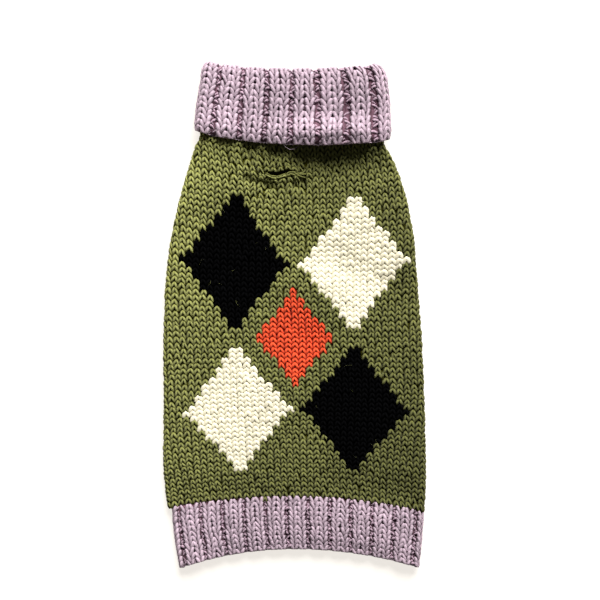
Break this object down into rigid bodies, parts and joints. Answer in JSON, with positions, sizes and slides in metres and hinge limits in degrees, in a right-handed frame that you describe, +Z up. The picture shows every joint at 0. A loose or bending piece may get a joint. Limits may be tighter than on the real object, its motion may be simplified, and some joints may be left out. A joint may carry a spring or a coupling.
{
  "type": "dog sweater",
  "caption": "Hand-knitted dog sweater lying flat, with a turned-down ribbed collar, a leash slit, a ribbed hem and two leg openings underneath.",
  "frame": {"origin": "centre of the footprint, on the surface that the sweater lies on", "axes": "+Z up out of the surface, +Y from the hem to the collar, +X to the right as it is seen from above"},
  "size_m": [0.2062, 0.3952, 0.0203],
  "materials": {
    "olive_wool": "matt knitted wool",
    "lilac_wool": "matt ribbed wool"
  },
  "bodies": {
    "root": {"back_panel": "olive_wool", "belly_panel": "olive_wool", "collar": "lilac_wool", "hem": "lilac_wool"}
  },
  "joints": []
}
